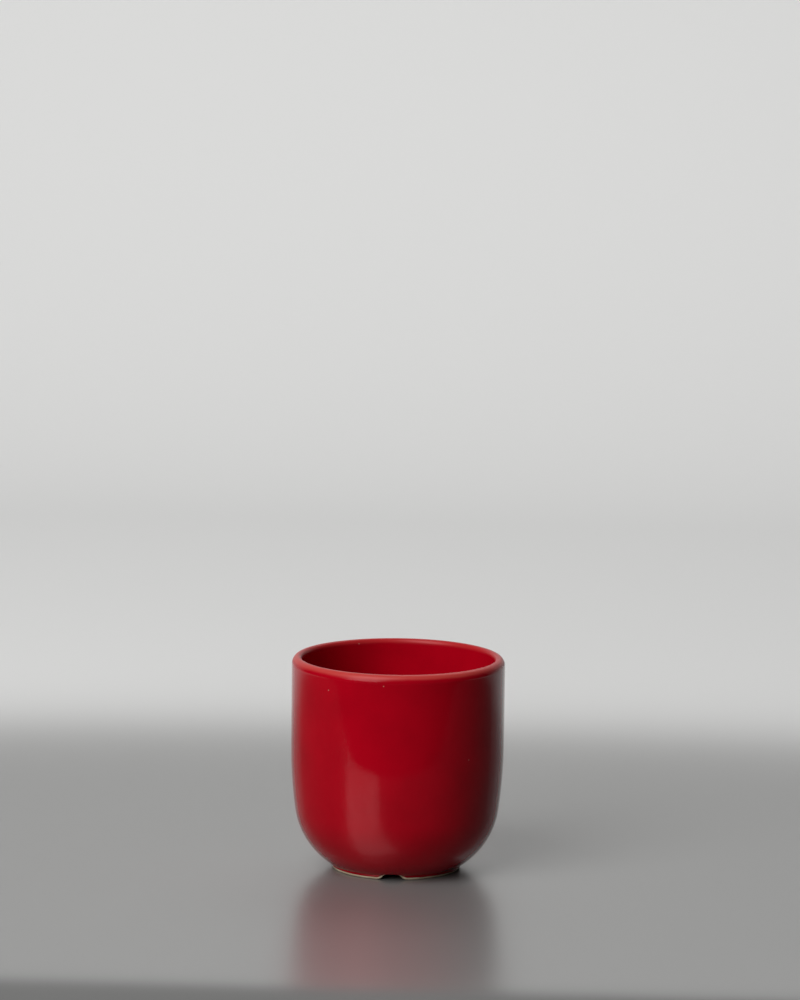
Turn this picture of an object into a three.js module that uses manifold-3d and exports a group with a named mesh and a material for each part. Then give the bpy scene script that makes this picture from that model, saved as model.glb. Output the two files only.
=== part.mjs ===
// Handle-less cappuccino cup: a stoneware body with a turned foot ring and three glaze coats.
// Millimetres, +Z up. The origin is the centre of the foot ring, on the surface the cup stands on.

import * as THREE from 'three';
import { mergeVertices } from 'three/addons/utils/BufferGeometryUtils.js';
import Module from 'manifold-3d';

// Overall sizes of the finished cup, over the glaze
const cupDiameter = 80;
const cupHeight = 80.5;

// Thickness of the coats and of the clay
const glaze = 0.4;
const clayWall = 3;
const clayFloor = 4.2;

// Outside curve over the glaze: a long wall arc leaves the straight wall,
// and the belly arc rolls under to the foot
const wallArcRadius = 185;
const wallArcAngle = 7.8;
const bellyRadius = 29.2;

// Inside curve: the round corner between the inner wall, which follows the outside, and the flat floor
const insideCorner = 17;

// Lip: the crest lies nearer the inside, and the outer side rolls down further than the inner side
const crestInset = 2.4;
const lipOuterDrop = 3.3;
const lipInnerDrop = 1.7;

// Foot ring: bare clay from the glaze line down
const footDiameter = 48.2;
const footWidth = 3.2;
const footHeight = 1.65;
const glazeLine = 0.9;
const footOuterEdge = 0.85;
const footInnerEdge = 0.5;

// Recess under the base, inside the foot ring
const recessDepth = 3.4;
const recessCorner = 1.6;

// Drain notches through the foot ring, the first one at the front; their flanks run out just below
// the standing surface, and the coats are wiped back a little further than the clay is cut
const notchCount = 3;
const notchTopWidth = 1.8;
const notchFootWidth = 14.4;
const notchHeight = 2.55;
const notchTopRound = 3.2;
const notchRunOut = 0.1;
const notchWipe = 0.1;
const wipeTopRound = 5.5;

// Facets: around the cup, and along each rounded stretch of its section
const facetsAround = 48;
const bellySteps = 9;
const wallSteps = 3;
const lipSteps = 5;
const insideSteps = 6;
const edgeSteps = 3;
const toeSteps = 3;
const recessSteps = 3;
const notchSteps = 4;

// Points of a section closer than this are one point
const coincident = 1e-4;

const redGlaze = 0xa00a1c;
const creamClay = 0xc9b193;

const wasm = await Module();
wasm.setup();

// Radii and heights that follow from the sizes above
const outerRadius = cupDiameter / 2;
const innerRadius = outerRadius - glaze - clayWall - glaze;
const crestRadius = outerRadius - crestInset;
const footRadius = footDiameter / 2;
const ringInnerRadius = footRadius - footWidth;
const floorHeight = recessDepth + clayFloor + glaze;

// Centres of the outside arcs: the belly arc meets the top of the foot, the wall arc is tangent to it
const joinAngle = THREE.MathUtils.degToRad(wallArcAngle);
const arcSpacing = wallArcRadius - bellyRadius;
const wallCentreR = outerRadius - wallArcRadius;
const bellyCentreR = wallCentreR + arcSpacing * Math.cos(joinAngle);
const bellyCentreZ = footHeight + Math.sqrt(bellyRadius ** 2 - (footRadius + glaze - bellyCentreR) ** 2);
const wallCentreZ = bellyCentreZ + arcSpacing * Math.sin(joinAngle);

// Inner wall arc about the same centre, and the inside corner tangent to it and to the floor
const innerWallRadius = wallArcRadius - (outerRadius - innerRadius);
const cornerCentreZ = floorHeight + insideCorner;
const cornerAngle = Math.asin((wallCentreZ - cornerCentreZ) / (innerWallRadius - insideCorner));
const cornerCentreR = wallCentreR + (innerWallRadius - insideCorner) * Math.cos(cornerAngle);

function point(r, z) {
  return new THREE.Vector2(r, z);
}

// An elliptical stretch of a section, between two angles in degrees counted from the outward radius
function arc(centre, radiusR, radiusZ, from, to, steps) {
  const start = THREE.MathUtils.degToRad(from);
  const end = THREE.MathUtils.degToRad(to);
  const curve = new THREE.EllipseCurve(centre.x, centre.y, radiusR, radiusZ, start, end, to < from);
  return curve.getPoints(steps);
}

// Joins stretches of a section end to end, keeping one point where two of them meet
function chain(...stretches) {
  const points = [];
  for (const next of stretches.flat()) {
    const last = points.at(-1);
    if (!last || last.distanceTo(next) > coincident) points.push(next);
  }
  return points;
}

// The outside of the cup from the foot up to the crest of the lip, at a depth below the finished surface
function outsideCurve(depth, footEndRadius) {
  const belly = bellyRadius - depth;
  const wall = wallArcRadius - depth;
  const footAngle = -THREE.MathUtils.radToDeg(Math.acos((footEndRadius - bellyCentreR) / belly));
  const lipCentre = point(crestRadius, cupHeight - lipOuterDrop);
  return chain(
    arc(point(bellyCentreR, bellyCentreZ), belly, belly, footAngle, -wallArcAngle, bellySteps),
    arc(point(wallCentreR, wallCentreZ), wall, wall, -wallArcAngle, 0, wallSteps),
    arc(lipCentre, crestInset - depth, lipOuterDrop - depth, 0, 90, lipSteps),
  );
}

// The inside of the cup from the crest of the lip to the centre of the floor, at a depth below the surface
function insideCurve(depth) {
  const lipCentre = point(crestRadius, cupHeight - lipInnerDrop);
  const lipReach = crestRadius - innerRadius;
  const wall = innerWallRadius + depth;
  const corner = insideCorner + depth;
  const meet = -THREE.MathUtils.radToDeg(cornerAngle);
  return chain(
    arc(lipCentre, lipReach - depth, lipInnerDrop - depth, 90, 180, lipSteps),
    arc(point(wallCentreR, wallCentreZ), wall, wall, 0, meet, wallSteps),
    arc(point(cornerCentreR, cornerCentreZ), corner, corner, meet, -90, insideSteps),
    [point(0, floorHeight - depth)],
  );
}

// The underside from the centre of the recess out and down the inner side of the foot ring
function recessCurve(depth) {
  const cornerCentre = point(ringInnerRadius - recessCorner, recessDepth - recessCorner);
  const corner = recessCorner - depth;
  return chain(
    [point(0, recessDepth - depth)],
    arc(cornerCentre, corner, corner, 90, 0, recessSteps),
  );
}

// The rounded toe where a coat ends on one side of the foot ring
function glazeToe(radius, from, to) {
  return arc(point(radius, footHeight), glaze, footHeight - glazeLine, from, to, toeSteps);
}

// The flat ring the cup stands on, with its two rounded edges, from the inner side to the outer side
function footFace() {
  const inner = point(ringInnerRadius + footInnerEdge, footInnerEdge);
  const outer = point(footRadius - footOuterEdge, footOuterEdge);
  return chain(
    arc(inner, footInnerEdge, footInnerEdge, 180, 270, edgeSteps),
    arc(outer, footOuterEdge, footOuterEdge, -90, 0, edgeSteps),
  );
}

// Turns a section about the cup's axis
function revolve(section) {
  const turned = new THREE.LatheGeometry(section, facetsAround);
  turned.rotateX(Math.PI / 2);
  return turned;
}

// A closed geometry as a solid that can be cut
function solidOf(geometry) {
  geometry.deleteAttribute('normal');
  geometry.deleteAttribute('uv');
  const merged = mergeVertices(geometry, coincident);
  const corners = merged.index.array;
  const kept = [];
  for (let i = 0; i < corners.length; i += 3) {
    const [a, b, c] = corners.slice(i, i + 3);
    if (a !== b && b !== c && c !== a) kept.push(a, b, c);
  }
  const vertProperties = merged.attributes.position.array;
  const triVerts = new Uint32Array(kept);
  return new wasm.Manifold(new wasm.Mesh({ numProp: 3, vertProperties, triVerts }));
}

function geometryOf(solid) {
  const mesh = solid.getMesh();
  const geometry = new THREE.BufferGeometry();
  geometry.setAttribute('position', new THREE.BufferAttribute(mesh.vertProperties, 3));
  geometry.setIndex(new THREE.BufferAttribute(mesh.triVerts, 1));
  geometry.computeVertexNormals();
  return geometry;
}

// One notch across the foot ring: a low arch that rises from the given foot height. Each flank is a
// hollow round below and a full round above, which meet in one slope
function notchTool(turn, wipe, foot, topRound) {
  const topHalf = notchTopWidth / 2 + wipe;
  const footHalf = notchFootWidth / 2 + wipe;
  const top = notchHeight + wipe;
  const run = footHalf - topHalf;
  const sweep = 2 * Math.atan((top - foot) / run);
  const footRound = run / Math.sin(sweep) - topRound;
  const up = Math.PI / 2;
  const down = -Math.PI / 2;
  const arch = new THREE.Shape();
  arch.absarc(-footHalf, foot + footRound, footRound, down, down + sweep, false);
  arch.absarc(-topHalf, top - topRound, topRound, up + sweep, up, true);
  arch.absarc(topHalf, top - topRound, topRound, up, up - sweep, true);
  arch.absarc(footHalf, foot + footRound, footRound, down - sweep, down, false);
  const innerEnd = ringInnerRadius / 2;
  const bar = new THREE.ExtrudeGeometry(arch, {
    depth: outerRadius - innerEnd,
    bevelEnabled: false,
    curveSegments: notchSteps,
  });
  bar.rotateX(Math.PI / 2);
  bar.translate(0, -innerEnd, 0);
  bar.rotateZ(turn);
  return solidOf(bar);
}

function cutNotches(geometry, wipe, foot, topRound) {
  let solid = solidOf(geometry);
  for (let i = 0; i < notchCount; i += 1) {
    const turn = (i * 2 * Math.PI) / notchCount;
    solid = solid.subtract(notchTool(turn, wipe, foot, topRound));
  }
  return geometryOf(solid);
}

// The clay is cut through to the standing surface, the coats from a little below the glaze line
function notchClay(geometry) {
  return cutNotches(geometry, 0, -notchRunOut, notchTopRound);
}

function notchCoat(geometry) {
  return cutNotches(geometry, notchWipe, glazeLine - notchRunOut, wipeTopRound);
}

// Stoneware body: underside, foot ring, outside, lip and inside in one section
function clayBody() {
  const section = chain(
    recessCurve(0),
    footFace(),
    outsideCurve(glaze, footRadius),
    insideCurve(glaze),
  );
  return notchClay(revolve(section));
}

// Outer coat: up the finished surface from its toe to the crest, and back down on the clay
function outerGlaze() {
  const section = chain(
    glazeToe(footRadius, -90, 0),
    outsideCurve(0, footRadius + glaze),
    outsideCurve(glaze, footRadius).reverse(),
    [point(footRadius, glazeLine)],
  );
  return notchCoat(revolve(section));
}

// Liner: out along the clay from the floor to the crest, and back down on the finished surface
function linerGlaze() {
  const section = chain(
    insideCurve(glaze).reverse(),
    insideCurve(0),
  );
  return revolve(section);
}

// Base coat: out along the finished recess to its toe, and back on the clay
function baseGlaze() {
  const section = chain(
    recessCurve(glaze),
    glazeToe(ringInnerRadius, 180, 270),
    recessCurve(0).reverse(),
  );
  return notchCoat(revolve(section));
}

function glazeFinish() {
  return new THREE.MeshStandardMaterial({ color: redGlaze, roughness: 0.12, metalness: 0 });
}

function clayFinish() {
  return new THREE.MeshStandardMaterial({ color: creamClay, roughness: 0.85, metalness: 0 });
}

const cup = new THREE.Group();

function addPiece(name, geometry, material) {
  const piece = new THREE.Mesh(geometry, material);
  piece.name = name;
  cup.add(piece);
}

addPiece('clay_body', clayBody(), clayFinish());
addPiece('outer_glaze', outerGlaze(), glazeFinish());
addPiece('liner_glaze', linerGlaze(), glazeFinish());
addPiece('base_glaze', baseGlaze(), glazeFinish());

export default cup;
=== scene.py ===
import bmesh
import bpy
import math
from mathutils import Matrix, Vector


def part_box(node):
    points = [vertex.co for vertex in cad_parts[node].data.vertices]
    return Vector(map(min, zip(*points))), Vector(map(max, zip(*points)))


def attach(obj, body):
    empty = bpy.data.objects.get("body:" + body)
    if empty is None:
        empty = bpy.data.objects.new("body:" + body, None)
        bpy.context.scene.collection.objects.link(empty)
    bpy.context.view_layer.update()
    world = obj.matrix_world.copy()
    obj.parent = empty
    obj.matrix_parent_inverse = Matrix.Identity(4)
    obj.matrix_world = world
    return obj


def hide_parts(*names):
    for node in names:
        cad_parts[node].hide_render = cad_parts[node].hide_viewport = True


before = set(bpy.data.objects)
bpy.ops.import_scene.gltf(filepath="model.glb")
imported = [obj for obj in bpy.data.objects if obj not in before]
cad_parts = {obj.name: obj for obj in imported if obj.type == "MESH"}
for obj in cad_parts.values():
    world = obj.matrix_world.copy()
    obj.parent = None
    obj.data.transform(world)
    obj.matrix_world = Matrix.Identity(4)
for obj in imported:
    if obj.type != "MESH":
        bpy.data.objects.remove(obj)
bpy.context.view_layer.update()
mm = 0.001

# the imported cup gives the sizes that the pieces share, in millimetres
outerLow, outerHigh = (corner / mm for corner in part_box("outer_glaze"))
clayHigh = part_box("clay_body")[1] / mm
linerLow, linerHigh = (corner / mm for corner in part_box("liner_glaze"))
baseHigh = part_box("base_glaze")[1] / mm

cupForm = {
    "radius": outerHigh.x,
    "height": outerHigh.z,
    "glaze": outerHigh.x - clayHigh.x,  # thickness of a coat
    "clayWall": 3.0,
    "wallArc": 185.0,  # the long arc that leaves the straight wall
    "wallArcAngle": 7.8,
    "bellyArc": 29.2,
    "insideArc": 17.0,
    "insideFloor": linerLow.z + outerHigh.x - clayHigh.x,
    "smoothAngle": 38.0,  # edges that turn less than this shade as one surface
}
lip = {
    "crestRadius": linerHigh.x,
    "outerDrop": 3.3,
    "innerDrop": 1.7,
    "flat": 0.06,  # level ring at the crest, so both coats shade alike there
}
footRing = {
    "radius": 24.1,
    "innerRadius": baseHigh.x,
    "height": 1.65,
    "glazeLine": outerLow.z,
    "outerEdge": 0.85,
    "innerEdge": 0.5,
    "recessDepth": baseHigh.z,
    "recessCorner": 1.6,
}
# how finely each stretch of the section is drawn
facets = {
    "turns": 240,  # round the cup
    "belly": 36,
    "wallArc": 12,
    "straightWall": 10,
    "outerLip": 16,
    "innerLip": 12,
    "insideWall": 10,
    "insideArc": 26,
    "floor": 6,
    "recessCorner": 8,
    "glazeToe": 8,
    "footFace": 4,
    "footInnerEdge": 6,
    "footOuterEdge": 10,
    "notchFoot": 14,
    "notchTop": 12,
    "notchEdge": 3,
    "samePoint": 1e-4,  # points of a section nearer than this are one, in millimetres
    "weld": 1e-6,  # and of a mesh, in metres
}

# centres of the outside and inside arcs
joinAngle = math.radians(cupForm["wallArcAngle"])
arcSpacing = cupForm["wallArc"] - cupForm["bellyArc"]
wallCentreR = cupForm["radius"] - cupForm["wallArc"]
bellyCentreR = wallCentreR + arcSpacing * math.cos(joinAngle)
toeReach = footRing["radius"] + cupForm["glaze"] - bellyCentreR
bellyCentreZ = footRing["height"] + math.sqrt(cupForm["bellyArc"] ** 2 - toeReach ** 2)
wallCentreZ = bellyCentreZ + arcSpacing * math.sin(joinAngle)
innerRadius = cupForm["radius"] - 2 * cupForm["glaze"] - cupForm["clayWall"]
innerArc = cupForm["wallArc"] - (cupForm["radius"] - innerRadius)
insideCentreZ = cupForm["insideFloor"] + cupForm["insideArc"]
insideSpacing = innerArc - cupForm["insideArc"]
insideAngle = math.asin((wallCentreZ - insideCentreZ) / insideSpacing)
insideCentreR = wallCentreR + insideSpacing * math.cos(insideAngle)
print("cup form worked out from the packed part")


def arc(centre, radii, start, end, steps):
    points = []
    for i in range(steps + 1):
        turn = math.radians(start + (end - start) * i / steps)
        points.append((
            centre[0] + radii[0] * math.cos(turn),
            centre[1] + radii[1] * math.sin(turn),
        ))
    return points


def line(start, end, steps):
    return [tuple(a + (b - a) * i / steps for a, b in zip(start, end)) for i in range(steps + 1)]


def chain(*stretches):
    points = []
    for stretch in stretches:
        for point in stretch:
            if not points or math.dist(points[-1], point) > facets["samePoint"]:
                points.append(point)
    return points


# foot to crest, at a depth under the finished surface
def outsideCurve(depth, footEnd):
    belly = cupForm["bellyArc"] - depth
    wall = cupForm["wallArc"] - depth
    wallR = cupForm["radius"] - depth
    wallAngle = cupForm["wallArcAngle"]
    footAngle = -math.degrees(math.acos((footEnd - bellyCentreR) / belly))
    lipZ = cupForm["height"] - lip["outerDrop"]
    lipR = lip["crestRadius"] + lip["flat"]
    lipReach = cupForm["radius"] - lipR - depth
    return chain(
        arc((bellyCentreR, bellyCentreZ), (belly, belly), footAngle, -wallAngle, facets["belly"]),
        arc((wallCentreR, wallCentreZ), (wall, wall), -wallAngle, 0, facets["wallArc"]),
        line((wallR, wallCentreZ), (wallR, lipZ), facets["straightWall"]),
        arc((lipR, lipZ), (lipReach, lip["outerDrop"] - depth), 0, 90, facets["outerLip"]),
        [(lip["crestRadius"], cupForm["height"] - depth)],
    )


# crest to the middle of the inside floor
def insideCurve(depth):
    lipZ = cupForm["height"] - lip["innerDrop"]
    lipR = lip["crestRadius"] - lip["flat"]
    lipReach = lipR - innerRadius - depth
    wall = innerArc + depth
    wallR = innerRadius + depth
    corner = cupForm["insideArc"] + depth
    meet = -math.degrees(insideAngle)
    floorZ = cupForm["insideFloor"] - depth
    return chain(
        [(lip["crestRadius"], cupForm["height"] - depth)],
        arc((lipR, lipZ), (lipReach, lip["innerDrop"] - depth), 90, 180, facets["innerLip"]),
        line((wallR, lipZ), (wallR, wallCentreZ), facets["straightWall"]),
        arc((wallCentreR, wallCentreZ), (wall, wall), 0, meet, facets["insideWall"]),
        arc((insideCentreR, insideCentreZ), (corner, corner), meet, -90, facets["insideArc"]),
        line((insideCentreR, floorZ), (0, floorZ), facets["floor"]),
    )


# middle of the recess out and down to the foot ring
def recessCurve(depth):
    corner = footRing["recessCorner"] - depth
    centreR = footRing["innerRadius"] - footRing["recessCorner"]
    centreZ = footRing["recessDepth"] - footRing["recessCorner"]
    top = footRing["recessDepth"] - depth
    return chain(
        line((0, top), (centreR, top), facets["floor"]),
        arc((centreR, centreZ), (corner, corner), 90, 0, facets["recessCorner"]),
    )


# the rounded lower end of a coat on the foot ring
def glazeToe(radius, start, end):
    drop = footRing["height"] - footRing["glazeLine"]
    return arc(
        (radius, footRing["height"]), (cupForm["glaze"], drop), start, end, facets["glazeToe"])


def footFace():
    innerEdge = footRing["innerEdge"]
    outerEdge = footRing["outerEdge"]
    inner = footRing["innerRadius"] + innerEdge
    outer = footRing["radius"] - outerEdge
    return chain(
        arc((inner, innerEdge), (innerEdge, innerEdge), 180, 270, facets["footInnerEdge"]),
        line((inner, 0), (outer, 0), facets["footFace"]),
        arc((outer, outerEdge), (outerEdge, outerEdge), -90, 0, facets["footOuterEdge"]),
    )


def pickOnly(piece):
    bpy.ops.object.select_all(action="DESELECT")
    piece.select_set(True)
    bpy.context.view_layer.objects.active = piece


# of the piece in edit mode, the edges that are wanted and nothing else
def pickEdges(piece, wanted):
    bpy.ops.mesh.select_mode(type="EDGE")
    bpy.ops.mesh.select_all(action="DESELECT")
    form = bmesh.from_edit_mesh(piece.data)
    for edge in form.edges:
        edge.select_set(wanted(edge))
    bmesh.update_edit_mesh(piece.data)
    print(piece.name, "has", sum(edge.select for edge in form.edges), "edges picked")


# a plane merged to one vertex, which is then drawn out along the section
def drawSection(name, points):
    bpy.ops.object.select_all(action="DESELECT")
    bpy.ops.mesh.primitive_plane_add(size=mm, location=(0, 0, 0))
    piece = bpy.context.object
    piece.name = name
    piece.data.name = name
    bpy.ops.object.mode_set(mode="EDIT")
    bpy.ops.mesh.select_mode(type="VERT")
    bpy.ops.mesh.select_all(action="SELECT")
    bpy.ops.mesh.merge(type="CENTER")
    bpy.ops.transform.translate(value=(points[0][0] * mm, 0, points[0][1] * mm))
    for here, there in zip(points, points[1:]):
        step = ((there[0] - here[0]) * mm, 0, (there[1] - here[1]) * mm)
        bpy.ops.mesh.extrude_vertices_move(TRANSFORM_OT_translate={"value": step})
    return piece


def turnPiece(name, section):
    piece = drawSection(name, section)
    bpy.ops.mesh.select_all(action="SELECT")
    bpy.ops.mesh.spin(
        steps=facets["turns"], angle=2 * math.pi, center=(0, 0, 0), axis=(0, 0, 1))
    bpy.ops.mesh.select_all(action="SELECT")
    bpy.ops.mesh.remove_doubles(threshold=facets["weld"])
    bpy.ops.mesh.normals_make_consistent(inside=False)
    bpy.ops.object.mode_set(mode="OBJECT")
    return piece


drainNotch = {
    "count": 3,
    "topHalf": 0.9,  # half of the level top
    "footHalf": 7.2,  # half of the width where the flanks run out
    "top": 2.55,
    "topRound": 3.2,
    "runOut": 0.1,
    "clayEdge": 0.35,
    "wipe": 0.1,  # the coats are wiped back a little further
    "wipeTopRound": 5.5,
    "glazeEdge": 0.2,
    "cutterUnder": 1.0,  # how far the cutters reach below the table
    "edgeAngle": 25.0,  # only edges that turn more than this are rounded off
    "edgeAbove": 0.2,  # and none further than this above the top
    "alongCut": 0.01,  # a face of the cut leans no more than this towards its direction
}
notchTurn = 2 * math.pi / drainNotch["count"]


# an arch whose flanks are two rounds that meet in one slope,
# a full one above and a hollow one below
def archCurve(wipe, foot, topRound):
    topHalf = drainNotch["topHalf"] + wipe
    footHalf = drainNotch["footHalf"] + wipe
    top = drainNotch["top"] + wipe
    run = footHalf - topHalf
    sweep = 2 * math.atan((top - foot) / run)
    footRound = run / math.sin(sweep) - topRound
    turn = math.degrees(sweep)
    footCentre = (-footHalf, foot + footRound)
    topCentre = (-topHalf, top - topRound)
    left = chain(
        arc(footCentre, (footRound, footRound), 270, 270 + turn, facets["notchFoot"]),
        arc(topCentre, (topRound, topRound), 90 + turn, 90, facets["notchTop"]),
    )
    return left + [(-r, z) for r, z in left[::-1]]


def notchCutter(name, arch):
    under = -drainNotch["cutterUnder"]
    outline = [(arch[0][0], under)] + arch + [(arch[-1][0], under)]
    cutter = drawSection(name, outline)
    innerEnd = footRing["innerRadius"] / 2 * mm
    length = cupForm["radius"] * mm - innerEnd
    bpy.ops.mesh.select_all(action="SELECT")
    bpy.ops.mesh.edge_face_add()
    bpy.ops.transform.translate(value=(0, -innerEnd, 0))
    bpy.ops.mesh.extrude_region_move(TRANSFORM_OT_translate={"value": (0, -length, 0)})
    bpy.ops.mesh.select_all(action="SELECT")
    for i in range(1, drainNotch["count"]):
        bpy.ops.mesh.duplicate()
        bpy.ops.transform.rotate(value=notchTurn, orient_axis="Z", center_override=(0, 0, 0))
    bpy.ops.mesh.select_all(action="SELECT")
    bpy.ops.mesh.normals_make_consistent(inside=False)
    bpy.ops.object.mode_set(mode="OBJECT")
    return cutter


def cutNotches(piece, cutter):
    cut = piece.modifiers.new("drainNotches", "BOOLEAN")
    cut.operation = "DIFFERENCE"
    cut.solver = "EXACT"
    cut.object = cutter
    pickOnly(piece)
    bpy.ops.object.modifier_apply(modifier=cut.name)


# rounds off the corners that a cut leaves: edges with the cut on one side
# and the turned form on the other
def softenCut(piece, width):
    turns = [notchTurn * i for i in range(drainNotch["count"])]
    along = [Vector((math.sin(turn), -math.cos(turn), 0)) for turn in turns]
    highest = (drainNotch["top"] + drainNotch["edgeAbove"]) * mm
    sharp = math.radians(drainNotch["edgeAngle"])

    def cutFace(face):
        place = face.calc_center_median()
        nearest = max(along, key=place.dot)
        return abs(face.normal.dot(nearest)) < drainNotch["alongCut"] and place.z < highest

    def cutCorner(edge):
        sides = edge.link_faces
        if len(sides) != 2 or edge.calc_face_angle() <= sharp:
            return False
        return cutFace(sides[0]) != cutFace(sides[1])

    bpy.ops.object.mode_set(mode="EDIT")
    pickEdges(piece, cutCorner)
    bpy.ops.mesh.bevel(
        offset=width * mm, segments=facets["notchEdge"], affect="EDGES", clamp_overlap=True)
    bpy.ops.object.mode_set(mode="OBJECT")


glazeWave = {
    "height": 0.3,  # of the cloud pattern; the line itself moves about a third of it
    "length": 7.0,
}


# lets the lower edge of a coat wander a little up and down on the foot ring
def waveGlazeLine(piece):
    group = piece.vertex_groups.new(name="glazeLine")
    drop = footRing["height"] - footRing["glazeLine"]
    for vertex in piece.data.vertices:
        below = footRing["height"] - vertex.co.z / mm
        if below > 0:
            group.add([vertex.index], min(below / drop, 1), "REPLACE")
    clouds = bpy.data.textures.new("glazeWave", "CLOUDS")
    clouds.noise_scale = glazeWave["length"] * mm
    wave = piece.modifiers.new("glazeWave", "DISPLACE")
    wave.texture = clouds
    wave.texture_coords = "LOCAL"
    wave.direction = "Z"
    wave.strength = glazeWave["height"] * mm
    wave.vertex_group = group.name
    pickOnly(piece)
    bpy.ops.object.modifier_apply(modifier=wave.name)
    lowest = min(vertex.co.z for vertex in piece.data.vertices) / mm
    print(piece.name, "glaze line lowest at", round(lowest, 3), "mm")


def finishPiece(piece, node, material):
    pickOnly(piece)
    bpy.ops.object.shade_smooth_by_angle(angle=math.radians(cupForm["smoothAngle"]))
    piece.data.materials.clear()
    piece.data.materials.append(material)
    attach(piece, "root")
    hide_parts(node)
    print(piece.name, len(piece.data.polygons), "faces")


class Wire:
    # a socket of a node tree; sums, products and powers of it add Math nodes
    def __init__(self, tree, socket=None):
        self.tree = tree
        self.socket = socket

    def node(self, kind, settings=None, sockets=None, out=0):
        made = self.tree.nodes.new(kind)
        for name, value in (settings or {}).items():
            setattr(made, name, value)
        for name, value in (sockets or {}).items():
            if isinstance(value, Wire):
                self.tree.links.new(value.socket, made.inputs[name])
            else:
                made.inputs[name].default_value = value
        return Wire(self.tree, made.outputs[out]) if len(made.outputs) else made

    def math(self, operation, *values):
        return self.node("ShaderNodeMath", {"operation": operation}, dict(enumerate(values)))

    def vector(self, operation, *values, out=0):
        return self.node(
            "ShaderNodeVectorMath", {"operation": operation}, dict(enumerate(values)), out)

    def __add__(self, other):
        return self.math("ADD", self, other)

    def __radd__(self, other):
        return self.math("ADD", other, self)

    def __sub__(self, other):
        return self.math("SUBTRACT", self, other)

    def __rsub__(self, other):
        return self.math("SUBTRACT", other, self)

    def __mul__(self, other):
        return self.math("MULTIPLY", self, other)

    def __rmul__(self, other):
        return self.math("MULTIPLY", other, self)

    def __truediv__(self, other):
        return self.math("DIVIDE", self, other)

    def __rtruediv__(self, other):
        return self.math("DIVIDE", other, self)

    def __pow__(self, other):
        return self.math("POWER", self, other)

    def ease(self, low, high):
        # 0 at low and before it, 1 at high and past it, smooth between
        return self.node("ShaderNodeMapRange", {"interpolation_type": "SMOOTHSTEP"},
                         {"Value": self, "From Min": low, "From Max": high})

    def noise(self, place, scale, detail):
        return self.node("ShaderNodeTexNoise", None,
                         {"Vector": place, "Scale": scale, "Detail": detail})

    def mix(self, factor, first, second):
        return self.node("ShaderNodeMix", {"data_type": "RGBA"},
                         {0: factor, 6: first, 7: second}, out=2)


def newMaterial(name):
    material = bpy.data.materials.new(name)
    material.use_nodes = True
    material.node_tree.nodes.clear()
    return material, Wire(material.node_tree)


redGlaze = {
    "colour": (0.40, 0.0008, 0.0090, 1),
    "deepColour": (0.31, 0.0006, 0.0070, 1),  # in clouds where it lies thicker, and lower down towards the foot
    "thinSheenColour": (0.48, 0.0420, 0.0370, 1),  # where the glaze runs thinner over the lip; its lighter band is partly painted sheen, a painted reflection of the light from above
    "pinholeColour": (0.42, 0.1500, 0.1200, 1),
    "sheenTint": (0.8, 0.50, 0.50, 1),
    "ior": 1.42,
    "roughness": 0.06,
    "roughnessSpread": 0.05,
    "roughnessScale": 700.0,
    "lipRoughness": 0.30,  # added over the lip, where it is less glossy
    "lipFrom": 2.9,  # depth under the crest where that begins, and where it is full
    "lipTo": 1.5,
    "cloudScale": 55.0,  # clouds of thicker glaze
    "cloudRange": (0.35, 0.75),
    "cloudShare": 0.55,
    "darkerLowRange": (9.0, 1.0),  # darker from the one height down to the other
    "darkerLowShare": 0.45,
    "thinSheenFrom": 1.9,  # depth under the crest where the band of thinner glaze and painted sheen begins, and where it is full
    "thinSheenTo": 0.9,
    "thinSheenWander": 0.7,
    "wanderScale": 110.0,
    "linerSheenShare": 0.35,  # the lighter band, with its painted sheen, shows less on the liner's side of the lip than on the outer coat
    "linerRange": (-0.3, 0.4),  # from the crest, where the one goes over into the other
    "pinholeCells": 130.0,
    "pinholeSize": 0.022,
    "pinholeRange": (0.50, 0.52),  # about half of the cells stay without one
    "pinholeDepth": 0.8,
    "peelScale": 900.0,  # the fine unevenness of the surface
    "peelStrength": 0.08,
    "peelDepth": 0.0002,
}


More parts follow.
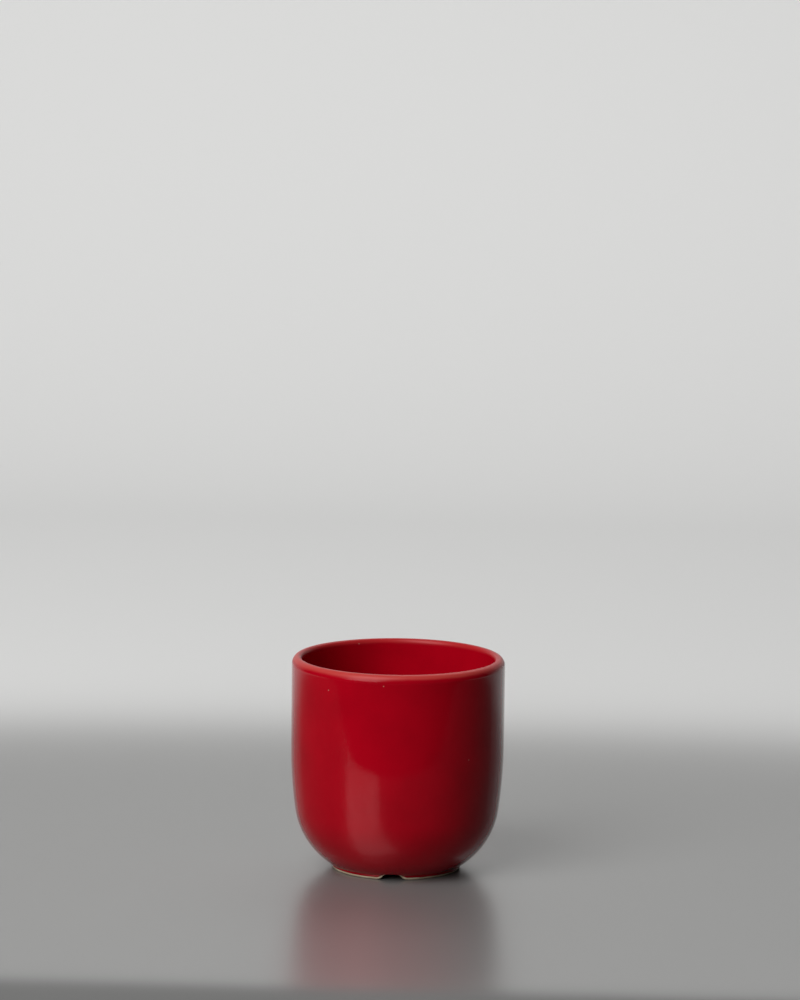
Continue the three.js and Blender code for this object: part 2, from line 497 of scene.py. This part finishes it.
def makeRedGlaze():
    material, wire = newMaterial("redGlaze")
    place = wire.node("ShaderNodeTexCoord", out=3)
    height = wire.node("ShaderNodeSeparateXYZ", None, {0: place}, out=2) / mm
    radius = wire.vector("LENGTH", wire.vector("MULTIPLY", place, (1, 1, 0)), out=1) / mm
    cloud = wire.noise(place, redGlaze["cloudScale"], detail=3.0).ease(*redGlaze["cloudRange"])
    # the glaze is made darker towards the foot
    lowDarkening = height.ease(*redGlaze["darkerLowRange"])
    deeper = cloud * redGlaze["cloudShare"] + lowDarkening * redGlaze["darkerLowShare"]
    colour = wire.mix(deeper, redGlaze["colour"], redGlaze["deepColour"])
    # the band of thinner glaze over the lip, made lighter also by painted sheen
    crest = cupForm["height"]
    wander = wire.noise(place, redGlaze["wanderScale"], detail=2.0) - 0.5
    level = height + wander * redGlaze["thinSheenWander"]
    thinSheen = level.ease(crest - redGlaze["thinSheenFrom"], crest - redGlaze["thinSheenTo"])
    # on the liner's side of the crest the painted sheen is weaker
    outside = radius.ease(*(lip["crestRadius"] + reach for reach in redGlaze["linerRange"]))
    thinSheen = thinSheen * (redGlaze["linerSheenShare"] + outside * (1 - redGlaze["linerSheenShare"]))
    colour = wire.mix(thinSheen, colour, redGlaze["thinSheenColour"])
    # cells of a coarse grid hold one pinhole each, which shows where it lies at the surface
    cells = {"Vector": place, "Scale": redGlaze["pinholeCells"]}
    centre = wire.node("ShaderNodeTexVoronoi", None, cells)
    chance = wire.node("ShaderNodeTexVoronoi", None, cells, out=1)
    lucky = wire.node("ShaderNodeSeparateColor", None, {0: chance})
    pinhole = centre.ease(redGlaze["pinholeSize"] * 2, redGlaze["pinholeSize"])
    pinhole = pinhole * lucky.ease(*redGlaze["pinholeRange"])
    colour = wire.mix(pinhole, colour, redGlaze["pinholeColour"])
    satin = level.ease(crest - redGlaze["lipFrom"], crest - redGlaze["lipTo"])
    fine = wire.noise(place, redGlaze["roughnessScale"], detail=2.0) - 0.5
    gloss = redGlaze["roughness"] + satin * redGlaze["lipRoughness"]
    gloss = gloss + fine * redGlaze["roughnessSpread"]
    peel = wire.noise(place, redGlaze["peelScale"], detail=2.0)
    bump = wire.node("ShaderNodeBump", None, {
        "Strength": redGlaze["peelStrength"], "Distance": redGlaze["peelDepth"],
        "Height": peel - pinhole * redGlaze["pinholeDepth"]})
    glaze = wire.node("ShaderNodeBsdfPrincipled", None, {
        "Base Color": colour, "Roughness": gloss, "IOR": redGlaze["ior"],
        "Specular Tint": redGlaze["sheenTint"], "Normal": bump})
    wire.node("ShaderNodeOutputMaterial", None, {"Surface": glaze})
    return material


bareClay = {
    "colour": (0.66, 0.54, 0.38, 1),
    "darkColour": (0.50, 0.38, 0.25, 1),
    "speckColour": (0.16, 0.10, 0.06, 1),
    "cloudScale": 160.0,
    "cloudRange": (0.35, 0.7),
    "speckScale": 1500.0,
    "speckRange": (0.68, 0.74),
    "speckShare": 0.7,
    "grainScale": 2600.0,
    "grainStrength": 0.4,
    "grainDepth": 0.0001,
    "roughness": 0.85,
    "roughnessSpread": 0.2,
}


def makeBareClay():
    material, wire = newMaterial("bareClay")
    place = wire.node("ShaderNodeTexCoord", out=3)
    cloud = wire.noise(place, bareClay["cloudScale"], detail=3.0).ease(*bareClay["cloudRange"])
    speck = wire.noise(place, bareClay["speckScale"], detail=1.0).ease(*bareClay["speckRange"])
    grain = wire.noise(place, bareClay["grainScale"], detail=3.0)
    colour = wire.mix(cloud, bareClay["colour"], bareClay["darkColour"])
    colour = wire.mix(speck * bareClay["speckShare"], colour, bareClay["speckColour"])
    rough = bareClay["roughness"] + (grain - 0.5) * bareClay["roughnessSpread"]
    bump = wire.node("ShaderNodeBump", None, {
        "Strength": bareClay["grainStrength"], "Distance": bareClay["grainDepth"],
        "Height": grain})
    clay = wire.node("ShaderNodeBsdfPrincipled", None, {
        "Base Color": colour, "Roughness": rough, "Normal": bump})
    wire.node("ShaderNodeOutputMaterial", None, {"Surface": clay})
    return material


glazeMaterial = makeRedGlaze()
clayMaterial = makeBareClay()
print("materials made")

clayFoot = -drainNotch["runOut"]
glazeFoot = footRing["glazeLine"] - drainNotch["runOut"]
clayArch = archCurve(0, clayFoot, drainNotch["topRound"])
glazeArch = archCurve(drainNotch["wipe"], glazeFoot, drainNotch["wipeTopRound"])
clayCutter = notchCutter("clayCutter", clayArch)
glazeCutter = notchCutter("glazeCutter", glazeArch)

# the faces that clay and coats share
clayOutside = outsideCurve(cupForm["glaze"], footRing["radius"])
clayInside = insideCurve(cupForm["glaze"])
clayRecess = recessCurve(0)

claySection = chain(clayRecess, footFace(), clayOutside, clayInside)
clayBody = turnPiece("clayBody", claySection)
cutNotches(clayBody, clayCutter)
softenCut(clayBody, drainNotch["clayEdge"])
finishPiece(clayBody, "clay_body", clayMaterial)

outerSection = chain(
    glazeToe(footRing["radius"], -90, 0),
    outsideCurve(0, footRing["radius"] + cupForm["glaze"]),
    clayOutside[::-1],
    [(footRing["radius"], footRing["glazeLine"])],
)
outerGlaze = turnPiece("outerGlaze", outerSection)
cutNotches(outerGlaze, glazeCutter)
softenCut(outerGlaze, drainNotch["glazeEdge"])
waveGlazeLine(outerGlaze)
finishPiece(outerGlaze, "outer_glaze", glazeMaterial)

linerSection = chain(clayInside[::-1], insideCurve(0))
linerGlaze = turnPiece("linerGlaze", linerSection)
finishPiece(linerGlaze, "liner_glaze", glazeMaterial)

baseSection = chain(
    recessCurve(cupForm["glaze"]),
    glazeToe(footRing["innerRadius"], 180, 270),
    clayRecess[::-1],
)
baseGlaze = turnPiece("baseGlaze", baseSection)
cutNotches(baseGlaze, glazeCutter)
waveGlazeLine(baseGlaze)
finishPiece(baseGlaze, "base_glaze", glazeMaterial)

bpy.data.objects.remove(clayCutter)
bpy.data.objects.remove(glazeCutter)

studio = {
    "floorColour": (0.19, 0.19, 0.187, 1),
    "backdropColour": (0.88, 0.88, 0.87, 1),
    "bounce": 0.30,  # share of those colours that lights the cup in turn
    "gradeCentre": (0, -0.2, 0),  # the sheet grows paler with the distance from here
    "gradeScale": (0.6, 1, 1),
    "gradeReach": 0.46,
    "gradeSteepness": 16.0,
    "floorRoughness": 0.28,
    "floorGloss": 2.6,
    "mattPlace": -0.195,  # in front of the cup it loses its sheen
    "mattWidth": 0.01,
    "frontMirrored": 0.15,  # and the cup mirrors little of it
    "sweepBack": 1.4,
    "sweepFront": -4.0,
    "sweepSide": 2.0,
    "sweepHeight": 3.2,
    "sweepRadius": 0.6,
    "sweepFacets": 24,
    "edgeReach": 0.01,  # corners nearer to an edge than this are on it
    "lampTarget": (0, 0, 0.04),
    "keyPlace": (-0.909, -1.298, 1.378),
    "keySize": (1.4, 2.2),
    "keyPower": 54.0,
    "fillPlace": (0.22, 1.13, 1.55),  # behind the cup, for its far side
    "fillSize": (1.4, 0.9),
    "fillPower": 6.5,
    "backPlace": (0.0, 0.5, 1.9),  # lights the backdrop alone
    "backTarget": (0.0, 1.4, 0.2),
    "backSize": (2.6, 0.5),
    "backPower": 1.4,
    "backSpread": 80.0,
    "world": 0.02,
}


def makeFloorFinish():
    material, wire = newMaterial("studioFloor")
    place = wire.node("ShaderNodeTexCoord", out=3)
    scaled = wire.vector("MULTIPLY", place, studio["gradeScale"])
    away = wire.vector("DISTANCE", scaled, studio["gradeCentre"], out=1)
    steep = (away / studio["gradeReach"]) ** studio["gradeSteepness"]
    far = steep / (1 + steep)
    behind = wire.node("ShaderNodeSeparateXYZ", None, {0: place}, out=1) - studio["mattPlace"]
    front = 0.5 - 0.5 * wire.math("TANH", behind / studio["mattWidth"])
    colour = wire.mix(far, studio["floorColour"], studio["backdropColour"])
    # camera, glossy and transmission rays see the colour itself, other rays a share of it
    camera, glossyRay, through = (wire.node("ShaderNodeLightPath", out=i) for i in (0, 3, 6))
    bounce = studio["bounce"]
    mirrored = 1 - front * (1 - studio["frontMirrored"])
    share = camera + (1 - camera) * bounce + (glossyRay + through) * (mirrored - bounce)
    colour = wire.mix(share, (0, 0, 0, 1), colour)
    glossy = wire.node("ShaderNodeBsdfPrincipled", None, {
        "Base Color": colour, "Roughness": studio["floorRoughness"], "IOR": studio["floorGloss"]})
    matt = wire.node("ShaderNodeBsdfDiffuse", None, {"Color": colour})
    dull = far + front - far * front
    sheet = wire.node("ShaderNodeMixShader", None, {0: dull, 1: glossy, 2: matt})
    wire.node("ShaderNodeOutputMaterial", None, {"Surface": sheet})
    return material


def makeFloor():
    length = studio["sweepBack"] - studio["sweepFront"]
    backLine = studio["sweepBack"] - studio["edgeReach"]
    bpy.ops.object.select_all(action="DESELECT")
    bpy.ops.mesh.primitive_plane_add(size=1, location=(0, 0, 0))
    floor = bpy.context.object
    floor.name = "studioSweep"
    bpy.ops.object.mode_set(mode="EDIT")
    bpy.ops.mesh.select_all(action="SELECT")
    bpy.ops.transform.resize(value=(2 * studio["sweepSide"], length, 1), center_override=(0, 0, 0))
    bpy.ops.transform.translate(value=(0, studio["sweepBack"] - length / 2, 0))
    # the back edge is drawn up to a backdrop, and the corner below it is rounded
    pickEdges(floor, lambda edge: all(v.co.y > backLine for v in edge.verts))
    bpy.ops.mesh.extrude_edges_move(
        TRANSFORM_OT_translate={"value": (0, 0, studio["sweepHeight"])})
    pickEdges(floor, lambda edge: all(
        v.co.y > backLine and v.co.z < studio["edgeReach"] for v in edge.verts))
    bpy.ops.mesh.bevel(
        offset=studio["sweepRadius"], segments=studio["sweepFacets"], affect="EDGES")
    bpy.ops.object.mode_set(mode="OBJECT")
    bpy.ops.object.shade_smooth()
    floor.data.materials.append(makeFloorFinish())


def addSoftbox(lamp, target):
    place = studio[lamp + "Place"]
    bpy.ops.object.light_add(type="AREA", location=place)
    softbox = bpy.context.object
    softbox.name = lamp + "Softbox"
    softbox.data.shape = "RECTANGLE"
    softbox.data.size, softbox.data.size_y = studio[lamp + "Size"]
    softbox.data.energy = studio[lamp + "Power"]
    aim = Vector(target) - Vector(place)
    softbox.rotation_euler = aim.to_track_quat("-Z", "Y").to_euler()
    return softbox


makeFloor()
addSoftbox("key", studio["lampTarget"])
addSoftbox("fill", studio["lampTarget"])
backSoftbox = addSoftbox("back", studio["backTarget"])
backSoftbox.data.spread = math.radians(studio["backSpread"])
world = bpy.data.worlds.new("studioAir")
bpy.context.scene.world = world
world.use_nodes = True
air = world.node_tree.nodes["Background"].inputs
air["Color"].default_value = (1, 1, 1, 1)
air["Strength"].default_value = studio["world"]
print("floor and lights set")

photoView = {
    "target": (0, 0, 0.040),
    "distance": 2.258,
    "elevation": 11.60,
    "azimuth": 3.6,
    "roll": 0.71,
    "sensor": 36.0,
    "focalPixels": 6000,
    "width": 800,
    "height": 1000,
    "targetPixel": (397.24, 762.26),
}


def placeCamera():
    elevation = math.radians(photoView["elevation"])
    azimuth = math.radians(photoView["azimuth"])
    away = Vector((
        math.cos(elevation) * math.sin(azimuth),
        -math.cos(elevation) * math.cos(azimuth),
        math.sin(elevation),
    ))
    bpy.ops.object.camera_add(
        location=Vector(photoView["target"]) + away * photoView["distance"])
    camera = bpy.context.object
    camera.name = "photoCamera"
    focal = photoView["focalPixels"]
    camera.data.sensor_width = photoView["sensor"]
    camera.data.lens = focal * photoView["sensor"] / photoView["height"]
    # turned so that the target falls on its pixel
    across, down = photoView["targetPixel"]
    tilt = math.atan((down - photoView["height"] / 2) / focal)
    pan = math.atan((across - photoView["width"] / 2) / focal)
    aim = (-away).to_track_quat("-Z", "Y").to_matrix()
    roll = Matrix.Rotation(math.radians(photoView["roll"]), 3, "Z")
    framing = Matrix.Rotation(tilt, 3, "X") @ Matrix.Rotation(pan, 3, "Y")
    camera.rotation_euler = (aim @ roll @ framing).to_euler()
    bpy.context.scene.camera = camera


placeCamera()
bpy.context.scene.view_settings.view_transform = "Standard"
print("camera set")
